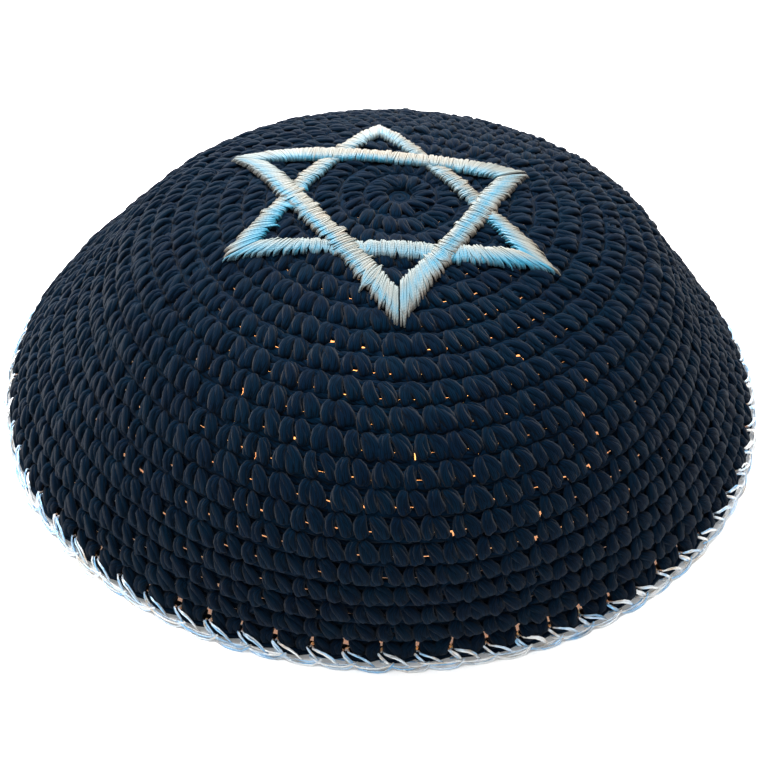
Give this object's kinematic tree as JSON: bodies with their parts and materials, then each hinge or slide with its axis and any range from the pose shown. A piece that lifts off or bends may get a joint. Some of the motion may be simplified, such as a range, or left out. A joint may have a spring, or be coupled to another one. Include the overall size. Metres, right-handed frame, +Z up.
{
  "type": "kippah skullcap",
  "caption": "Crocheted round skullcap, a hollow dome of plump yarn rounds with a satin-stitched six-pointed star at the crown and a metallic thread edge.",
  "frame": {"origin": "middle of the rim, on the surface that the cap stands on", "axes": "+Z up through the crown, -Y the front that the picture looks at, +X the right as seen there"},
  "size_m": [0.1544, 0.151, 0.0511],
  "materials": {
    "black_cotton_yarn": "soft matte cotton yarn, crocheted",
    "star_satin_thread": "satin stitch in cream silver and sky blue shiny thread",
    "metallic_edge_thread": "fine metallised thread, silver, blue and gold brown"
  },
  "bodies": {
    "root": {"crochet_dome": "black_cotton_yarn", "edge_trim": "metallic_edge_thread", "star_over_triangle": "star_satin_thread", "star_under_tip_left": "star_satin_thread", "star_under_tip_right": "star_satin_thread", "star_under_tip_back": "star_satin_thread", "star_under_bar_front": "star_satin_thread", "star_under_bar_left": "star_satin_thread", "star_under_bar_right": "star_satin_thread"}
  },
  "joints": []
}
